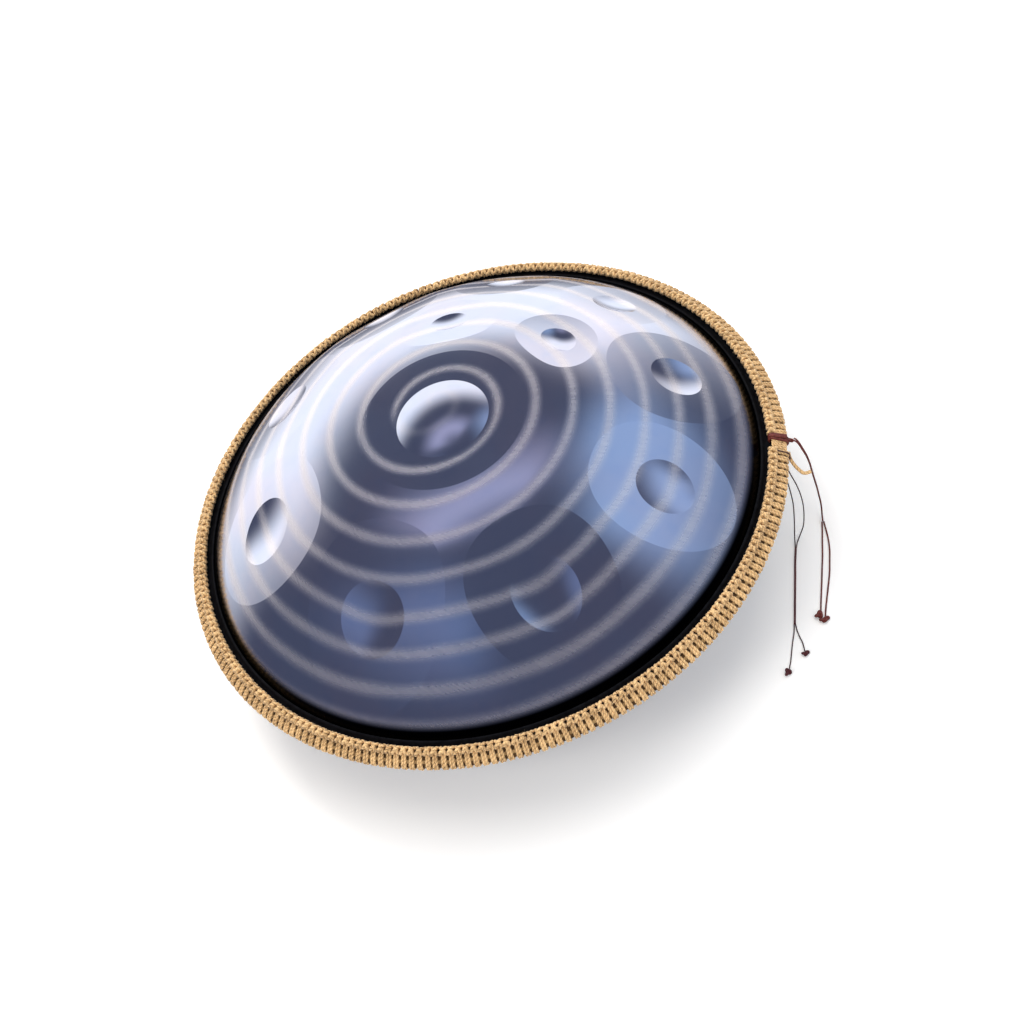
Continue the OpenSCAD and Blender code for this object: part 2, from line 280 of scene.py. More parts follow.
class Material(Nodes):
    """A new material with a Principled shader."""

    def __init__(self, name):
        self.material = bpy.data.materials.new(name)
        self.material.use_nodes = True
        super().__init__(self.material.node_tree)
        self.bsdf = self.tree.nodes["Principled BSDF"]

    def bump(self, height, distance, strength):
        made = self.node("ShaderNodeBump")
        made.inputs["Strength"].default_value = strength
        made.inputs["Distance"].default_value = distance * MM
        self.put(height, made.inputs["Height"])
        self.put(made.outputs[0], self.bsdf.inputs["Normal"])

    def set(self, **values):
        for key, value in values.items():
            socket = self.bsdf.inputs[key.replace("_", " ")]
            is_colour = isinstance(value, tuple) and len(value) == 3
            self.put((*value, 1) if is_colour else value, socket)
        return self.material


# ---------------------------------------------------------------- materials
# The heat stripe is one spiral: its turn number grows by one per turn, and a cubic in the distance
# from the axis gives it. The cubic's factors were fitted to the stripe in the photograph. The spiral's
# centre drifts a little to the back towards the middle of the pan.
SPIRAL_UNIT = 276
SPIRAL_TURNS = (-0.7485, 7.6822, 0.7639, 1.7415)
SPIRAL_DRIFT = (-1.0, 10.7)
DRIFT_END, DRIFT_TURNS = 9.0, 8.0
# Distance between two turns at turn 0, and how much of it each turn takes away
PITCH, PITCH_LOSS = 34.8, 1.88
STRIPE_HALF, STRIPE_EDGE = 7.8, 1.25
STRIPE_TAN = ((0.90, 0.81, 0.79), (1.0, 0.92, 0.89))

STEEL_COLOURS = ((0.58, 0.62, 0.76), (0.62, 0.61, 0.73), (0.48, 0.55, 0.74))
STEEL_SATIN = 0.13
# Distances from the axis between which the stripe starts on the ding, and ends near the rim
STRIPE_START, STRIPE_END = (43.0, 50.0), (246.0, 253.0)
# Distances from the axis between which painted shade and a painted dark reflection turn the steel black
# towards the trim
RIM_SHADE_FADE = (246.0, 251.5)
# Black of the painted shade and dark reflection at the rim
RIM_PAINTED_SHADE = (0.001, 0.001, 0.0015)


def root_of_squares(n, a, b):
    return n.math("SQRT", n.math("ADD", n.math("MULTIPLY", a, a), n.math("MULTIPLY", b, b)))


def spiral_turns(n, r):
    """The spiral's turn number at a distance from its centre, as a share of the unit."""
    value = SPIRAL_TURNS[-1]
    for factor in reversed(SPIRAL_TURNS[:-1]):
        value = n.math("ADD", n.math("MULTIPLY", value, r), factor)
    return value


def spiral_stripe(n, place):
    """How much of the heat stripe is at a place, from 0 to 1."""
    x, y, _ = n.split(place)
    rough_turn = spiral_turns(n, n.math("DIVIDE", root_of_squares(n, x, y), SPIRAL_UNIT))
    inward = n.math("DIVIDE", n.math("SUBTRACT", DRIFT_END, rough_turn), DRIFT_TURNS)
    drift = n.math("POWER", inward, 2.0)
    dx = n.math("SUBTRACT", x, n.math("MULTIPLY", drift, SPIRAL_DRIFT[0]))
    dy = n.math("SUBTRACT", y, n.math("MULTIPLY", drift, SPIRAL_DRIFT[1]))
    turn = spiral_turns(n, n.math("DIVIDE", root_of_squares(n, dx, dy), SPIRAL_UNIT))
    angle = n.math("ARCTAN2", dx, n.math("MULTIPLY", dy, -1.0))
    number = n.math("ADD", turn, n.math("DIVIDE", angle, 2 * math.pi))
    off = n.math("ABSOLUTE", n.math("SUBTRACT", n.math("FRACT", n.math("ADD", number, 0.5)), 0.5))
    pitch = n.math("SUBTRACT", PITCH, n.math("MULTIPLY", turn, PITCH_LOSS))
    wander = n.math("MULTIPLY", n.math("SUBTRACT", n.noise(place, 0.02), 0.5), 2.0)
    across = n.math("ADD", n.math("MULTIPLY", off, pitch), wander)
    return n.math("POWER", n.ramp(across, 0.0, STRIPE_HALF, 1.0, 0.0), STRIPE_EDGE)


def polishing_marks(n, x, y, z, out):
    """Fine marks that run a little aslant of the meridians."""
    arc = n.math("MULTIPLY", n.math("ARCTAN2", y, x), out)
    aslant = n.math("ADD", n.math("MULTIPLY", arc, 0.9), n.math("MULTIPLY", out, 0.25))
    grain = n.join(aslant, n.math("MULTIPLY", out, 0.10), n.math("MULTIPLY", z, 0.05))
    return n.noise(grain, 1.0, 3.0, 0.6)


def steel(name, stripe_share):
    """Nitrided steel: blue and violet, satin, with hairline polishing marks, and a rim turned black by
    painted shade and a painted dark reflection.
    """
    n = Material(name)
    place = n.place()
    x, y, z = n.split(place)
    out = root_of_squares(n, x, y)
    blue, violet, deep = STEEL_COLOURS
    base = n.mix(n.ramp(n.noise(place, 0.012, 2.0), 0.35, 0.65), blue, violet)
    base = n.mix(n.ramp(n.noise(place, 0.05, 4.0, 0.6), 0.45, 0.75, 0.0, 0.3), base, deep)
    marks = polishing_marks(n, x, y, z, out)
    rough = n.math("ADD", STEEL_SATIN, n.math("MULTIPLY", n.noise(place, 0.03, 3.0), 0.06))
    metal = 1.0
    if stripe_share:
        stripe = n.math("MULTIPLY", spiral_stripe(n, place), n.ramp(out, *STRIPE_START, 0.25, 1.0))
        stripe = n.math("MULTIPLY", stripe, n.ramp(out, *STRIPE_END, 1.0, 0.0))
        share = n.ramp(marks, 0.30, 0.66, 0.78 * stripe_share, stripe_share)
        stripe = n.math("MULTIPLY", stripe, share)
        base = n.mix(stripe, base, n.mix(n.ramp(marks, 0.35, 0.75), *STRIPE_TAN))
        rough = n.math("ADD", rough, n.math("MULTIPLY", stripe, 0.24))
        metal = n.math("SUBTRACT", 1.0, n.math("MULTIPLY", stripe, 0.16))
    # Painted shade and painted dark reflection: the steel turns black towards the trim
    base = n.mix(n.ramp(out, *RIM_SHADE_FADE), base, RIM_PAINTED_SHADE)
    n.bsdf.inputs["Specular IOR Level"].default_value = 0.12
    height = n.math("ADD", n.math("MULTIPLY", marks, 0.6),
                    n.math("MULTIPLY", n.noise(place, 0.9, 2.0), 0.4))
    n.bump(height, 0.02, 0.3)
    return n.set(Base_Color=base, Metallic=metal, Roughness=rough)


def plain_material(name, low, high, roughness, grain, depth, coat=0.0):
    """A mottled material: two colours mixed by noise, with the same noise as its bump."""
    n = Material(name)
    place = n.place()
    speckle = n.noise(place, grain, 4.0, 0.6)
    n.bump(speckle, depth, 0.5)
    rough = n.ramp(speckle, 0.3, 0.7, roughness * 0.85, roughness * 1.15)
    n.bsdf.inputs["Coat Weight"].default_value = coat
    n.bsdf.inputs["Coat Roughness"].default_value = 0.12
    return n.set(Base_Color=n.mix(n.ramp(speckle, 0.35, 0.65), low, high), Roughness=rough)


def twisted(name, light, dark, lay, plies, depth, roughness=0.8, sheen=0.0, hair=True):
    """Cord laid from plies: UV runs in millimetres along the cord and in turns around it."""
    n = Material(name)
    u, v, _ = n.split(n.node("ShaderNodeUVMap").outputs[0])
    place = n.place()
    along_ply = n.math("SUBTRACT", v, n.math("DIVIDE", u, lay))
    turns = n.math("ADD", n.math("MULTIPLY", along_ply, float(plies)), 0.5)
    groove = n.math("ABSOLUTE", n.math("SINE", n.math("MULTIPLY", turns, math.pi)))
    along = n.join(n.math("MULTIPLY", u, 0.35), n.math("MULTIPLY", along_ply, 11.0))
    fibre = n.noise(n.add(along, place) if hair else along, 0.9 if hair else 1.3, 4.0, 0.65)
    blotch = n.noise(place, 0.08, 3.0)
    base = n.mix(n.ramp(fibre, 0.3, 0.7), dark, light)
    # Painted shade: the seams between the plies are darkened towards black
    base = n.mix(n.ramp(groove, 0.0, 0.55, 0.9, 0.0), base, tuple(0.30 * c for c in dark))
    base = n.mix(n.ramp(blotch, 0.35, 0.7, 0.0, 0.35), base, tuple(1.25 * c for c in light))
    n.bump(n.math("ADD", groove, n.math("MULTIPLY", fibre, 0.7)), depth, 0.9)
    n.bsdf.inputs["Sheen Weight"].default_value = sheen
    n.bsdf.inputs["Sheen Roughness"].default_value = 0.5
    return n.set(Base_Color=base, Roughness=roughness)


JUTE_LIGHT, JUTE_DARK = (0.92, 0.62, 0.30), (0.36, 0.18, 0.055)
TOP_STEEL = steel("nitrided_steel_top", 0.66)
BOTTOM_STEEL = steel("nitrided_steel_bottom", 0)
JUTE = twisted("jute_twine", JUTE_LIGHT, JUTE_DARK, PLY_LAY, 2, 0.35, sheen=0.2)
# Jute under the hitches, coloured near black: painted shade in the gaps between the hitches
JUTE_PAINTED_SHADE = plain_material("jute_underlay_painted_shade", (0.05, 0.026, 0.010), (0.10, 0.055, 0.022), 0.9, 0.6, 0.4)
CORE_CORD = twisted("core_cord", (0.40, 0.26, 0.11), (0.16, 0.08, 0.03), 12.0, 3, 0.5)
LEATHER = plain_material("leather_lace", (0.09, 0.018, 0.014), (0.20, 0.045, 0.032), 0.45, 0.9, 0.12,
                         coat=0.15)
WAXED = twisted("waxed_tie", (0.10, 0.045, 0.050), (0.035, 0.018, 0.022), 2.8, 2, 0.15,
                roughness=0.5, hair=False)
WHIPPED = twisted("whipped_tie", (0.15, 0.035, 0.035), (0.05, 0.015, 0.018), 1.0, 1, 0.15,
                  roughness=0.5, hair=False)
RUBBER = plain_material("rubber_trim", (0.002, 0.002, 0.0025), (0.005, 0.005, 0.006), 0.6, 0.25, 0.05)
RUBBER.node_tree.nodes["Principled BSDF"].inputs["Specular IOR Level"].default_value = 0.15
GLUE = plain_material("seam_glue", (0.10, 0.10, 0.11), (0.16, 0.16, 0.17), 0.6, 0.4, 0.1)

# ---------------------------------------------------------------- laces
LASH_A = -20
TIE_A = -27
STOPPER_A = TIE_A + 3.7
LACE_D, STRAND_D, WHIP_D, TIE_D, TAIL_D = 2.6, 1.5, 2.0, 1.1, 3.2

# The routes are those of part.scad: distance from the axis, distance to the side and height
LACE_STEM = [(284, 1.7, 102.6), (285.6, 1.2, 101.6), (287.4, 0, 98.8), (289.5, -3, 93.5), (291.5, -5.5, 86),
             (292.5, -7.5, 77), (292.5, -9, 67), (292.5, -10, 56), (292.5, -10.5, 45), (292, -10.5, 33),
             (291.5, -10, 22), (290.5, -10, 12), (289.5, -11.5, 5.5), (289, -16.5, 1.5)]
LACE_LEFT = [(288.2, -17, 1.4), (287.5, -26, 0.8), (286.5, -37, 0.8), (285, -55, 0.8), (283.5, -67, 0.8),
             (282, -80, 0.8), (280.5, -92, 0.8), (279, -104, 0.8), (278, -114, 1.5)]
LACE_RIGHT = [(289.8, -17, 1.4), (291, -27, 0.8), (292, -38, 0.8), (292, -49, 0.8), (291, -60, 0.8),
              (289.5, -74, 0.8), (287, -88, 0.8), (284.5, -101, 0.8), (282.5, -112, 0.8), (281.5, -120, 1.5)]
TIE_LEFT = [(272, 16.6, 95.9), (272.3, 12, 94.5), (273.2, 6, 89), (274.2, 2.5, 81), (274, 1, 66),
            (273, 1, 54), (269.5, 1, 32), (266.5, 1, 16), (264.5, 0, 5), (264.3, -4, 1), (264.5, -7.5, 1)]
TIE_RIGHT = [(273.6, 16.8, 95.3), (275.3, 12, 94), (277.6, 7.5, 90), (280, 4.3, 84), (281.5, 2.5, 76),
             (282, 2, 66), (281, 3, 50), (278.5, 4, 34), (275, 5.5, 18), (271.5, 6, 8), (268, 3, 2.2),
             (266, -3, 1), (265.6, -7.5, 1)]
TIE_STEM = [(265, -7.5, 1), (265, -22, 1), (265.5, -38, 1), (266, -55, 1), (266.5, -73, 1), (267, -90, 1)]
TIE_TAIL_LEFT = [(266.4, -90, 1), (266.5, -98, 0.6), (265.5, -110, 0.6), (265, -120, 0.6), (264.5, -129, 0.6),
                 (263.7, -137.5, 1.5)]
TIE_TAIL_RIGHT = [(267.6, -90, 1), (269, -96, 0.6), (271.5, -103, 0.6), (274.5, -110, 0.6),
                  (277, -119.5, 1.5)]
ROPE_TAIL = [(278, -9, 99), (278.5, -14, 98.5), (280, -19, 98), (282, -23, 97), (285, -27, 95),
             (288, -29.5, 93), (291, -29.5, 92), (294.5, -28, 91)]


def turned(points, degrees):
    """Points of a lace's own frame, turned to the row's frame."""
    a = math.radians(degrees)
    p = np.asarray(points, float)
    return np.stack([p[:, 0] * math.cos(a) - p[:, 1] * math.sin(a),
                     p[:, 0] * math.sin(a) + p[:, 1] * math.cos(a), p[:, 2]], 1)


def knot(name, centre, size, degrees, material, slot, thick, node):
    """An overhand knot: a cord of the given thickness wound as a trefoil, pulled flat."""
    t = np.linspace(0, 2 * math.pi, 72, endpoint=False)
    loop = np.stack([np.sin(t) + 1.6 * np.sin(2 * t), np.cos(t) - 1.6 * np.cos(2 * t),
                     -1.1 * np.sin(3 * t)], 1)
    loop = np.vstack([loop, loop[:1]]) / 2.6
    half = np.asarray(size, float) / 2 - thick / 2
    a = math.radians(degrees)
    spin = np.array([[math.cos(a), -math.sin(a), 0], [math.sin(a), math.cos(a), 0], [0, 0, 1]])
    path = (loop * half) @ spin.T + np.asarray(centre, float)
    tubes = Tubes()
    tubes.add(path, thick / 2, 10)
    return finish_piece(tubes.build(name), material, slot, node)


def lace(name, route, degrees, diameter, material, slot, node, width=None):
    """A cord along a route: one round strand, or two a width apart where one is given."""
    path = smooth_route(turned(route, degrees), 1.2)
    tubes = Tubes()
    if width is None:
        tubes.add(path, diameter / 2, 12)
    else:
        ahead, _, _ = frames(path)
        level = np.array([-math.sin(math.radians(degrees)), math.cos(math.radians(degrees)), 0.0])
        side = unit(level - ahead * (ahead @ level)[:, None])
        run = np.linspace(0, 1, len(path))
        spread = width(run)[:, None] / 2
        for sign in (-1, 1):
            tubes.add(path + side * spread * sign, diameter / 4 * 1.12, 10)
    piece = finish_piece(tubes.build(name), material, slot, node)
    return piece


def stem_width(run):
    """Distance between the stem's two strands: they part at the band and close further down."""
    return 1.55 + 0.9 * np.exp(-(run / 0.25) ** 2) - 0.5 * np.exp(-((run - 0.62) / 0.2) ** 2)


def make_leather_lace():
    slot = "leather"
    left_place = turned([(276.6, -117.8, 3.2)], LASH_A)[0]
    left = knot("lace_end_left_knot", left_place, (9.4, 8.4, 6.2), 20, LEATHER, slot, 2.5, "lace_end_left")
    right_place = turned([(280.8, -123.6, 2.8)], LASH_A)[0]
    right = knot("lace_end_right_knot", right_place, (11.0, 6.4, 5.4), -12, LEATHER, slot, 2.4,
                 "lace_end_right")
    top_place = turned([(BAND_R + 1.6, 2, JOINT_Z - 3)], LASH_A)[0]
    top = knot("lace_top_knot", top_place, (5.2, 6.2, 5.2), 50, LEATHER, slot, 1.9, "lace_knot")
    lace("lace_stem_pair", LACE_STEM, LASH_A, LACE_D, LEATHER, slot, "lace_stem",
         width=stem_width)
    lace("lace_left_strand", LACE_LEFT, LASH_A, STRAND_D, LEATHER, slot, "lace_left")
    lace("lace_right_strand", LACE_RIGHT, LASH_A, STRAND_D, LEATHER, slot, "lace_right")


def make_waxed_tie():
    slot = "waxed_cord"
    left_place = turned([(263, -140.4, 2.7)], TIE_A)[0]
    left = knot("tie_end_left_knot", left_place, (9.0, 7.2, 5.2), 60, WHIPPED, slot, 2.1, "tie_end_left")
    right_place = turned([(277.9, -122.1, 2.4)], TIE_A)[0]
    right = knot("tie_end_right_knot", right_place, (8.4, 6.0, 4.6), -15, WHIPPED, slot, 2.0,
                 "tie_end_right")
    stopper_place = turned([(BAND_R - 0.3, 0, JOINT_Z - 5.6)], STOPPER_A)[0]
    stopper = knot("tie_stopper", stopper_place, (3.8, 4.0, 3.8), 0, WAXED, slot, 1.3, "tie_knot")
    lace("tie_left_strand", TIE_LEFT, TIE_A, TIE_D, WAXED, slot, "tie_left")
    lace("tie_right_strand", TIE_RIGHT, TIE_A, TIE_D, WAXED, slot, "tie_right")
    lace("tie_whipping", TIE_STEM, TIE_A, WHIP_D, WHIPPED, slot, "tie_stem")
    lace("tie_left_tail", TIE_TAIL_LEFT, TIE_A, TIE_D, WAXED, slot, "tie_tail_left")
    lace("tie_right_tail", TIE_TAIL_RIGHT, TIE_A, TIE_D, WAXED, slot, "tie_tail_right")


make_leather_lace()
make_waxed_tie()
lace("rope_loose_end", ROPE_TAIL, LASH_A, TAIL_D, JUTE, "rope", "rope_tail")

# ---------------------------------------------------------------- bowls
STEEL_T = 1.2
FOOT_R = 258
BEND_R = 8
FLANGE_Z = 1.5
TOP = (730, 5.5, 240, 40, 340)
LOW = (900, 6, 215, 38, 340)
HOLE_R, NECK_DEPTH, ROLL_R, LAND_W = 49, 23, 7, 4
FIELD_DEPTH, DIMPLE_SHARE = 3, 0.17
DING_FIELD_R, DING_R, DING_H = 76, 42, 9

# Tone fields: direction, distance down the meridian, half length, half width, and the dimple's halves
FIELDS = [(225, 194, 88, 67, 34, 31), (274, 198, 76, 64, 34, 29), (317, 211, 70, 56, 28, 24),
          (353, 218, 66, 57, 25, 23), (26, 225, 54, 46, 21, 20), (58, 222, 52, 45, 20, 18),
          (92, 216, 62, 56, 24, 22), (130, 205, 66, 62, 28, 25), (175, 197, 74, 64, 33, 29),
          (17, 131, 33, 41, 14, 18), (69, 126, 36, 46, 14, 18)]


class Bowl:
    """A bowl's outline: crown, shoulder and skirt arcs, the bend and the flat flange.
    Heights are over the middle of the joint, and s is the distance walked from the axis."""

    def __init__(self, crown_r, crown_a, shoulder_r, shoulder_a, skirt_r):
        self.r = (crown_r, shoulder_r, skirt_r)
        self.a = [math.radians(v) for v in (0, crown_a, shoulder_a)]
        edge = (crown_r - shoulder_r) * math.sin(self.a[1]) + shoulder_r * math.sin(self.a[2])
        self.a.append(math.asin(math.sin(self.a[2]) + (FOOT_R - edge) / skirt_r))
        self.foot_z = FLANGE_Z + BEND_R * (1 - math.cos(self.a[3]))
        drop = [r * (math.cos(a) - math.cos(b)) for r, a, b in zip(self.r, self.a, self.a[1:])]
        self.rise = self.foot_z + sum(drop)
        self.centres = [np.array([0, self.rise - crown_r])]
        for i in (0, 1):
            step = (self.r[i] - self.r[i + 1]) * np.array([math.sin(self.a[i + 1]), math.cos(self.a[i + 1])])
            self.centres.append(self.centres[-1] + step)
        foot = self.a[3]
        self.bend = np.array([FOOT_R, self.foot_z]) + BEND_R * np.array([math.sin(foot), math.cos(foot)])
        arcs = [r * (b - a) for r, a, b in zip(self.r, self.a, self.a[1:])] + [BEND_R * foot]
        self.s = np.cumsum([0] + arcs + [FLANGE_R - self.bend[0]])

    def at(self, s):
        """Radius, height and slope at distance s."""
        s = np.asarray(s, float)
        r, z, a = np.zeros(s.shape), np.zeros(s.shape), np.zeros(s.shape)
        for i, (radius, centre) in enumerate(zip(self.r + (-BEND_R,), self.centres + [self.bend])):
            m = (s >= self.s[i]) if i == 0 else (s > self.s[i])
            slope = self.a[i] + (s[m] - self.s[i]) / radius
            r[m] = centre[0] + radius * np.sin(slope)
            z[m] = centre[1] + radius * np.cos(slope)
            a[m] = slope
        m = s > self.s[4]
        r[m] = self.bend[0] + s[m] - self.s[4]
        z[m] = FLANGE_Z
        a[m] = 0
        return r, z, a


def bulge(q):
    """A paraboloid that is 1 in the middle and 0 from q = 1 outwards."""
    return np.clip(1 - q, 0, None)


def turn(degrees):
    """The same angle between -180 and 180 degrees."""
    return (degrees + 180) % 360 - 180


def sink(s, r, angle):
    """How far the top bowl's surface lies under the plain dome."""
    depth = FIELD_DEPTH * bulge((s / DING_FIELD_R) ** 2) - DING_H * bulge((s / DING_R) ** 2)
    for way, far, a, b, da, db in FIELDS:
        u, v = s - far, r * np.radians(turn(angle - way))
        depth = depth + FIELD_DEPTH * bulge((u / a) ** 2 + (v / b) ** 2)
        depth = depth + DIMPLE_SHARE * db * bulge((u / da) ** 2 + (v / db) ** 2)
    return depth


def snap(bowl, s, angle):
    """Moves grid points next to a field's or a dimple's edge onto it. Returns which edge each is on."""
    on = np.zeros(s.shape, int)
    edges = [(w, f, a, b) for w, f, a, b, _, _ in FIELDS] + [(w, f, a, b) for w, f, _, _, a, b in FIELDS]
    for k, (way, far, a, b) in enumerate(edges, 1):
        r = bowl.at(s)[0]
        u, v = s - far, r * np.radians(turn(angle - way))
        size = np.sqrt((u / a) ** 2 + (v / b) ** 2)
        off = (size - 1) * np.hypot(u, v)
        take = np.zeros(s.shape, bool)
        for axis in (0, 1):
            other = np.roll(off, -1, axis)
            cross = off * other < 0
            if axis == 0:
                cross[-1] = False
            nearer = np.abs(off) <= np.abs(other)
            take |= cross & nearer
            take |= np.roll(cross & ~nearer, 1, axis)
        take &= on == 0
        s[take] = far + u[take] / size[take]
        r = bowl.at(s)[0]
        angle[take] = way + np.degrees(v[take] / size[take] / r[take])
        on[take] = k
    return on


SECTORS = 480
RING_STEP = 2.15


def top_rings(bowl):
    """Distances from the axis of the rings of points on the outer skin and on the inner one."""
    outer = [np.linspace(0, DING_R, 21)[1:], np.linspace(DING_R, DING_FIELD_R, 17)[1:],
             np.linspace(DING_FIELD_R, bowl.s[3], int((bowl.s[3] - DING_FIELD_R) / RING_STEP))[1:],
             np.linspace(bowl.s[3], bowl.s[4], 9)[1:], [bowl.s[5]]]
    inner = [[DING_R * k / 6 for k in range(1, 6)], np.linspace(DING_R, bowl.s[3], 32),
             np.linspace(bowl.s[3], bowl.s[4], 5)[1:], [bowl.s[5]]]
    return np.concatenate(outer), np.concatenate(inner)


def skin(bowl, s, angle, extra=0.0):
    """Points of the hammered dome, or a sheet's thickness under it."""
    r, z, slope = bowl.at(s)
    depth = sink(s, r, angle) + extra
    t = np.radians(angle)
    radius, height = r - depth * np.sin(slope), z - depth * np.cos(slope) + JOINT_Z
    return np.stack([radius * np.cos(t), radius * np.sin(t), height], -1)


def outer_row(near, far, k, k2, p, q):
    """Faces between two rings. A quad that touches an edge is split along it."""
    p2, q2 = p + SECTORS, q + SECTORS
    e = near[k], near[k2], far[k2], far[k]
    touched = (e[0] + e[1] + e[2] + e[3]) > 0
    main = touched & ((e[0] > 0) & (e[2] > 0) | ~((e[1] > 0) & (e[3] > 0)))
    cross = touched & ~main
    faces = np.stack([p, p2, q2, q], 1)[~touched].tolist()
    halves = (((p, p2, q2), main), ((p, q2, q), main), ((p, p2, q), cross), ((p2, q2, q), cross))
    for corners, chosen in halves:
        faces += np.stack(corners, 1)[chosen].tolist()
    return faces


def top_faces(on, inner_rings):
    """Faces of both skins, the two poles and the edge between the skins."""
    k = np.arange(SECTORS)
    k2 = (k + 1) % SECTORS
    inside = 2 + len(on) * SECTORS
    faces = np.stack([np.zeros(SECTORS, int), 2 + k, 2 + k2], 1).tolist()
    faces += np.stack([np.ones(SECTORS, int), inside + k2, inside + k], 1).tolist()
    for i in range(len(on) - 1):
        ring = 2 + i * SECTORS
        faces += outer_row(on[i], on[i + 1], k, k2, ring + k, ring + k2)
    for i in range(inner_rings - 1):
        p, q = inside + i * SECTORS + k, inside + i * SECTORS + k2
        faces += np.stack([p, q, q + SECTORS, p + SECTORS], 1).tolist()
    out_edge, in_edge = inside - SECTORS, inside + (inner_rings - 1) * SECTORS
    faces += np.stack([out_edge + k, in_edge + k, in_edge + k2, out_edge + k2], 1).tolist()
    return faces


def crease(piece, on, rings):
    """Sharp edges along the fields, the dimples, the ding and the bowl's edge."""
    line = on.copy()
    code = len(FIELDS) * 2 + 1
    for ring in (np.argmin(np.abs(rings - DING_R)), np.argmin(np.abs(rings - DING_FIELD_R)), -1):
        line[ring] = code
        code += 1
    mesh = piece.data
    mark = np.zeros(len(mesh.vertices), int)
    mark[2:2 + line.size] = line.ravel()
    ends = np.zeros(len(mesh.edges) * 2, int)
    mesh.edges.foreach_get("vertices", ends)
    ends = ends.reshape(-1, 2)
    sharp = (mark[ends[:, 0]] > 0) & (mark[ends[:, 0]] == mark[ends[:, 1]])
    mesh.attributes.new("sharp_edge", "BOOLEAN", "EDGE").data.foreach_set("value", sharp)


def make_top_bowl():
    bowl = Bowl(*TOP)
    outer_rings, inner_rings = top_rings(bowl)
    angles = 360 * np.arange(SECTORS) / SECTORS
    s, angle = np.meshgrid(outer_rings, angles, indexing="ij")
    on = snap(bowl, s, angle)
    outer = skin(bowl, s, angle)
    inner = skin(bowl, *np.meshgrid(inner_rings, angles, indexing="ij"), STEEL_T)
    pole = bowl.rise - FIELD_DEPTH + DING_H + JOINT_Z
    verts = np.vstack([[[0, 0, pole], [0, 0, pole - STEEL_T]], outer.reshape(-1, 3), inner.reshape(-1, 3)])
    piece = new_mesh("top_bowl", verts, top_faces(on, len(inner_rings)))
    crease(piece, on, outer_rings)
    finish_piece(piece, TOP_STEEL, "top_steel", "top_shell")


def sharpen(piece, degrees):
    """Marks the edges sharper than the angle, so that the flat parts shade flat."""
    piece.data.set_sharp_from_angle(angle=math.radians(degrees))


def make_bottom_bowl():
    bowl = Bowl(*LOW)
    land_in, land_out = HOLE_R + ROLL_R, HOLE_R + ROLL_R + LAND_W
    start = LOW[0] * math.asin(land_out / LOW[0])
    s = np.concatenate([np.linspace(start, bowl.s[3], 60)[1:], np.linspace(bowl.s[3], bowl.s[4], 9)[1:],
                        [bowl.s[5]]])
    r, z, a = bowl.at(s)
    land = bowl.rise - LOW[0] + math.sqrt(LOW[0] ** 2 - land_out ** 2)
    roll_a = np.radians(np.linspace(-90, 0, 12))
    r = np.concatenate([[HOLE_R, HOLE_R], land_in + ROLL_R * np.sin(roll_a), [land_out], r])
    z = np.concatenate([[land - NECK_DEPTH, land - (NECK_DEPTH + ROLL_R) / 2],
                        land - ROLL_R + ROLL_R * np.cos(roll_a), [land], z])
    a = np.concatenate([[-math.pi / 2] * 2, roll_a, [0], a])
    line = np.concatenate([np.stack([r, -z], 1),
                           np.stack([r - STEEL_T * np.sin(a), -z + STEEL_T * np.cos(a)], 1)[::-1]])
    line[:, 1] += JOINT_Z
    piece = revolve("bottom_bowl", line, 360)
    finish_piece(piece, BOTTOM_STEEL, "bottom_steel", "bottom_shell")
    sharpen(piece, 25)


make_top_bowl()
make_bottom_bowl()

# ---------------------------------------------------------------- trim
LIP_R, LIP_T, TRIM_HALF = 256, 2.2, 4.6
BAND_IN_R = 263.5


def trim_half(bowl):
    """Inner and outer line of the trim's half on one bowl, as (radius, height over the joint)."""
    lip = math.asin((LIP_R - bowl.centres[2][0]) / bowl.r[2])
    first = bowl.s[2] + bowl.r[2] * (lip - bowl.a[2])
    on_skirt = np.linspace(first, bowl.s[3], 5)
    s = np.concatenate([on_skirt, np.linspace(bowl.s[3], bowl.s[4], 7)[1:], [bowl.s[5]]])
    r, z, _ = bowl.at(s)
    tip = np.array([r[0], z[0]])
    ro, zo, ao = bowl.at(on_skirt)
    over = np.stack([ro + LIP_T * np.sin(ao), zo + LIP_T * np.cos(ao)], 1)
    round_tip = []
    for c in np.radians((45, 90, 135)):
        off = np.array([math.sin(lip) - math.sin(lip + c), math.cos(lip) - math.cos(lip + c)])
        round_tip.append(tip + LIP_T / 2 * off)
    corner = [(BAND_IN_R + 1, TRIM_HALF), (TRIM_R - 1, TRIM_HALF), (TRIM_R, TRIM_HALF - 1)]
    return np.stack([r, z], 1), np.vstack([round_tip, over, corner])


def make_trim():
    """The rubber channel over the flanges, with a round-edged lip on each skirt."""
    upper_in, upper_out = trim_half(Bowl(*TOP))
    lower_in, lower_out = trim_half(Bowl(*LOW))
    flip = np.array([1, -1])
    line = np.vstack([upper_in, lower_in[::-1] * flip, lower_out * flip, upper_out[::-1]])
    line[:, 1] += JOINT_Z
    piece = revolve("rubber_channel", line[::-1], 360)
    finish_piece(piece, RUBBER, "rubber", "rim_trim")
    sharpen(piece, 50)


make_trim()

# ---------------------------------------------------------------- rope band
NOSE_R, BAND_CORNER = 4.2, 3.0
GAP_FROM, GAP_TO = LASH_A - 2.4, LASH_A + 0.8
HITCHES = 238
ROPE_R = 1.42
# How far a hitch leans along the band from end to end, and how much that varies
LEAN, LEAN_SPREAD = 1.5, 0.4
# Half the distance between a hitch's two strands as a share of its width, and what it gains below
STRAND_APART, APART_BELOW = 0.160, 0.012
STRAND_GROOVE, BAR_GROOVE = 0.26, 0.22
# The crossing turns: radius, half length as a share of the width, and the way out of the slope
BAR_R, BAR_REACH = 1.70, 0.375
SLOPE_OUT = np.array([0.40, 0.92])
UNDERLAY_INSET = 2.3


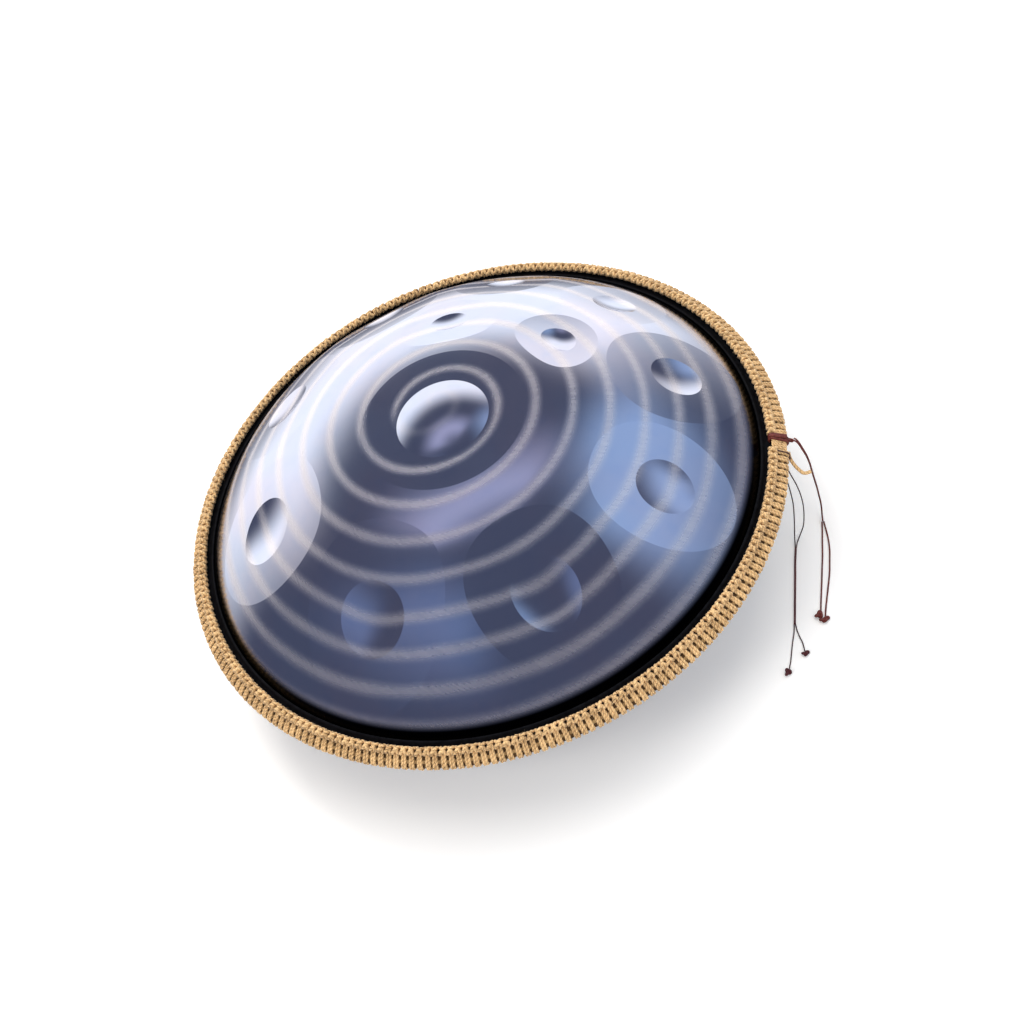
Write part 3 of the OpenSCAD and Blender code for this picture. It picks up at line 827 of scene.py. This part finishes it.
def band_line(inset, count):
    """Points round the band's section, from the inner wall over the top and the edge to the wall again."""
    corner = np.array([BAND_IN_R + BAND_CORNER, BAND_H / 2 - BAND_CORNER])
    edge = np.array([BAND_R - NOSE_R, 0.0])
    run = edge - corner
    slope = math.atan2(run[0], run[1]) - math.acos((BAND_CORNER - NOSE_R) / np.hypot(*run))
    half = [(BAND_IN_R + inset, TRIM_HALF + 0.3 + max(inset, 0))]
    arcs = ((corner, BAND_CORNER, -math.pi / 2, slope), (edge, NOSE_R, slope, math.pi / 2))
    for centre, radius, a0, a1 in arcs:
        for a in np.linspace(a0, a1, 7):
            half.append(tuple(centre + (radius - inset) * np.array([math.sin(a), math.cos(a)])))
    half = np.array(half)
    return even(np.vstack([half, half[-2::-1] * [1, -1]]), count)


def even(line, count):
    """The same line with count points spaced evenly along it."""
    run = np.concatenate([[0], np.cumsum(np.linalg.norm(np.diff(line, axis=0), axis=1))])
    at = np.linspace(0, run[-1], count)
    return np.stack([np.interp(at, run, line[:, k]) for k in range(line.shape[1])], 1)


def on_band(line, sideways, degrees):
    """Section points (radius, height over the joint) with a sideways shift, set at an angle on the band."""
    side = np.broadcast_to(sideways, (len(line),))
    return turned(np.stack([line[:, 0], side, line[:, 1] + JOINT_Z], 1), degrees)


def along_band(degrees):
    """Direction along the band at an angle, which is square to the band's section."""
    return turned([(0, 1, 0)], degrees)[0]


def hitch(strands, bars, angle, width):
    """One hitch: two strands round the rim, and the turns that cross over them on the inner slope."""
    lean = RNG.normal(LEAN, LEAN_SPREAD)
    start = RNG.uniform(0, 40)
    path = band_line(ROPE_R, 34)
    run = np.linspace(0, 1, len(path))
    below = np.clip((run - 0.22) / 0.15, 0, 1)
    spread = STRAND_APART + APART_BELOW * below
    for sign in (-1, 1):
        side = width * (sign * spread) + lean * (run - 0.45) + RNG.normal(0, 0.08)
        size = ROPE_R * RNG.uniform(0.92, 1.02) * (0.90 + 0.10 * below)
        strands.add(on_band(path + RNG.normal(0, 0.10, 2), side, angle), size, 10, up=along_band(angle),
                    u0=start + sign * 2.3, groove=STRAND_GROOVE)
    cover = band_line(-0.2, 60)[5:15]
    for sign, rise in ((1, 0.55), (-1, 1.05)):
        t = np.linspace(-1, 1, 11)
        along = even(cover, 11)[::sign] + RNG.normal(0, 0.12, 2)
        along = along + SLOPE_OUT * (rise - 1.6 * np.abs(t) ** 4)[:, None]
        side = t * width * BAR_REACH * RNG.uniform(0.9, 1.08) - lean * 0.25
        bars.add(on_band(along, side, angle), BAR_R * (1 - 0.15 * t ** 4), 10, up=(0, 0, 1),
                 u0=start + sign * 3, groove=BAR_GROOVE)


def make_band():
    """Every hitch, in two halves with the crossing turns apart, and the core that they hide, coloured near
    black as painted shade.
    """
    span = 360 + GAP_FROM - GAP_TO
    step = span / HITCHES
    width = math.radians(step) * (BAND_R - 4)
    halves = [Tubes(), Tubes()]
    bars = Tubes()
    for h in range(HITCHES):
        hitch(halves[2 * h // HITCHES], bars, GAP_TO + step * (h + 0.5) + RNG.normal(0, 0.05), width)
    finish_piece(halves[0].build("rope_hitches_near"), JUTE, "rope", "rope_band")
    finish_piece(halves[1].build("rope_hitches_far"), JUTE, "rope")
    finish_piece(bars.build("rope_hitch_crossings"), JUTE, "rope")
    line = band_line(UNDERLAY_INSET, 30)
    line[:, 1] += JOINT_Z
    inner = [(TRIM_R + 0.4, JOINT_Z - TRIM_HALF - 0.2), (TRIM_R + 0.4, JOINT_Z + TRIM_HALF + 0.2)]
    # The underlay is jute under the hitches, coloured near black as painted shade
    finish_piece(revolve("rope_underlay", np.vstack([line, inner])[::-1], 240), JUTE_PAINTED_SHADE, "rope")


# The join's wraps: how many, their radius, how deep they lie and degrees from one to the next
WRAPS, WRAP_R, WRAP_INSET, WRAP_STEP = 4, 1.35, 2.75, 0.5


def make_join():
    """The flat wraps between the band's first and last hitch."""
    tubes = Tubes()
    for k in range(WRAPS):
        angle = GAP_FROM + 0.28 + WRAP_STEP * k
        tubes.add(on_band(band_line(WRAP_INSET, 40), 0.0, angle), WRAP_R, 10, up=along_band(angle),
                  u0=9.0 * k, groove=0.14)
    finish_piece(tubes.build("rope_join_wraps"), JUTE, "rope", "rope_join")


def make_lashings():
    """The lace's turns and its doubled end over the slope, and the tie's one turn."""
    lash = Tubes()
    for k in range(3):
        angle = GAP_TO - 0.30 - 0.45 * k
        lash.add(on_band(band_line(0.55, 48), 0.12 * math.sin(k), angle), 1.2, 10, up=along_band(angle))
    over = band_line(-1.0, 60)[8:26]
    for side in (-0.9, 0.9):
        sideways = side + np.linspace(0.2, 1.6, len(over))
        lash.add(on_band(over, sideways, LASH_A), 1.35, 10, up=along_band(LASH_A))
    finish_piece(lash.build("lace_turns"), LEATHER, "leather", "lace_lashing")
    tie = Tubes()
    tie.add(on_band(band_line(-0.5, 48), 0.0, STOPPER_A), TIE_D / 2, 8,
            up=along_band(STOPPER_A))
    finish_piece(tie.build("tie_turn"), WAXED, "waxed_cord", "tie_lashing")


FUZZ = 2400


def make_fuzz():
    """Loose jute fibres that stand off the hitches."""
    fibres = Tubes()
    line = band_line(0.2, 60)
    for _ in range(FUZZ):
        k = RNG.integers(2, 56)
        along = line[k + 1] - line[k - 1]
        out = np.array([along[1], -along[0]]) / -np.hypot(*along)
        size = RNG.uniform(0.8, 2.4)
        curl = RNG.normal(0, 0.6, 3)
        grow = np.array([out[0], RNG.normal(0, 0.9), out[1]])
        grow = grow / np.linalg.norm(grow)
        root = np.array([line[k][0], 0, line[k][1] + JOINT_Z])
        points = np.array([root + grow * size * t + curl * t * t for t in (0, 0.5, 1)])
        fibres.add(turned(points, RNG.uniform(GAP_TO, 360 + GAP_FROM)), (0.07, 0.06, 0.03), 3)
    finish_piece(fibres.build("rope_fuzz"), JUTE, "rope")


make_band()
make_join()
make_lashings()
make_fuzz()

for node, material in (("seam_glue", GLUE), ("core_cord_upper", CORE_CORD), ("core_cord_lower", CORE_CORD)):
    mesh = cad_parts[node].data
    mesh.materials.clear()
    mesh.materials.append(material)


# ---------------------------------------------------------------- studio
FLOOR_SIZE = 6000
# A faint glow of the floor keeps the pan's shadow light
FLOOR_GLOW = 0.22


def new_floor_mesh():
    mesh = bpy.data.meshes.new("floor")
    half = FLOOR_SIZE / 2 * MM
    corners = [(-half, -half, 0), (half, -half, 0), (half, half, 0), (-half, half, 0)]
    mesh.from_pydata(corners, [], [(0, 1, 2, 3)])
    floor = bpy.data.objects.new("floor", mesh)
    bpy.context.scene.collection.objects.link(floor)
    return floor


def make_floor():
    floor = new_floor_mesh()
    n = Material("floor")
    fleck = n.noise(n.place(), 0.004, 3.0)
    n.bsdf.inputs["Emission Color"].default_value = (1.0, 0.98, 0.94, 1.0)
    n.bsdf.inputs["Emission Strength"].default_value = FLOOR_GLOW
    n.set(Base_Color=n.mix(fleck, (0.90, 0.89, 0.86), (0.93, 0.92, 0.89)), Roughness=0.85)
    floor.data.materials.append(n.material)
    floor.visible_glossy = False


# The softboxes face this point inside the pan, in metres
LIT_POINT = Vector((0, 0, 0.15))


def toward(azimuth, elevation):
    a, e = math.radians(azimuth), math.radians(elevation)
    return Vector((math.cos(a) * math.cos(e), math.sin(a) * math.cos(e), math.sin(e)))


def softbox(name, azimuth, elevation, distance, width, height, power, colour):
    """A rectangular area light that faces the pan and isn't mirrored in it."""
    data = bpy.data.lights.new(name, "AREA")
    data.shape = "RECTANGLE"
    data.size, data.size_y = width, height
    data.energy = power
    data.color = colour
    lamp = bpy.data.objects.new(name, data)
    bpy.context.scene.collection.objects.link(lamp)
    way = toward(azimuth, elevation)
    turn_to_pan = way.to_track_quat("Z", "Y").to_matrix().to_4x4()
    lamp.matrix_world = Matrix.Translation(LIT_POINT + way * distance) @ turn_to_pan
    lamp.visible_glossy = False
    lamp.visible_camera = False


# Soft panels of light round the pan, each over the ones before it: direction and half width in
# degrees, elevation and half height, softness of the edge, then the light's red, green and blue
PANELS = (
    (90, 48, 5, 25, 14, (1.40, 1.40, 1.40)),     # white wall behind the pan
    (0, 35, 40, 20, 16, (0.45, 0.60, 0.85)),     # blue panel at the right
    (100, 60, 72, 8, 12, (0.60, 0.60, 0.80)),    # lavender strip overhead
    (-150, 30, 50, 15, 15, (0.20, 0.26, 0.42)),  # dim blue panel at the left
)
STUDIO_DIM = (0.09, 0.10, 0.15)
# What the camera sees beyond the floor
BACKDROP = (0.90, 0.90, 0.92)


def make_world():
    """A dim studio with soft panels of white, blue and lavender light."""
    world = bpy.data.worlds.new("studio")
    bpy.context.scene.world = world
    world.use_nodes = True
    n = Nodes(world.node_tree)
    x, y, z = n.split(n.node("ShaderNodeTexCoord").outputs["Generated"])
    azimuth = n.math("MULTIPLY", n.math("ARCTAN2", y, x), 180 / math.pi)
    elevation = n.math("MULTIPLY", n.math("ARCSINE", z), 180 / math.pi)
    colour = STUDIO_DIM
    for az, half_az, el, half_el, soft, light in PANELS:
        turned_away = n.math("WRAP", n.math("SUBTRACT", azimuth, float(az)), 180.0, -180.0)
        aside = n.math("ABSOLUTE", turned_away)
        above = n.math("ABSOLUTE", n.math("SUBTRACT", elevation, float(el)))
        inside = n.math("MULTIPLY", n.ramp(aside, half_az - soft, half_az + soft, 1.0, 0.0),
                        n.ramp(above, half_el - soft, half_el + soft, 1.0, 0.0))
        colour = n.mix(inside, colour, light)
    seen = n.node("ShaderNodeLightPath").outputs["Is Camera Ray"]
    background = n.tree.nodes["Background"]
    n.put(n.mix(seen, colour, BACKDROP), background.inputs["Color"])
    background.inputs["Strength"].default_value = 1.0


make_floor()
make_world()
softbox("key", 100, 56, 2.6, 1.0, 1.0, 30, (1.0, 0.98, 0.95))
softbox("overhead", 60, 80, 2.6, 3.0, 3.0, 64, (1.0, 0.98, 0.94))
softbox("fill_left", -150, 40, 2.6, 0.9, 0.9, 20, (1.0, 0.98, 0.95))
softbox("fill_front", -60, 35, 2.8, 1.8, 1.8, 26, (1.0, 0.99, 0.96))
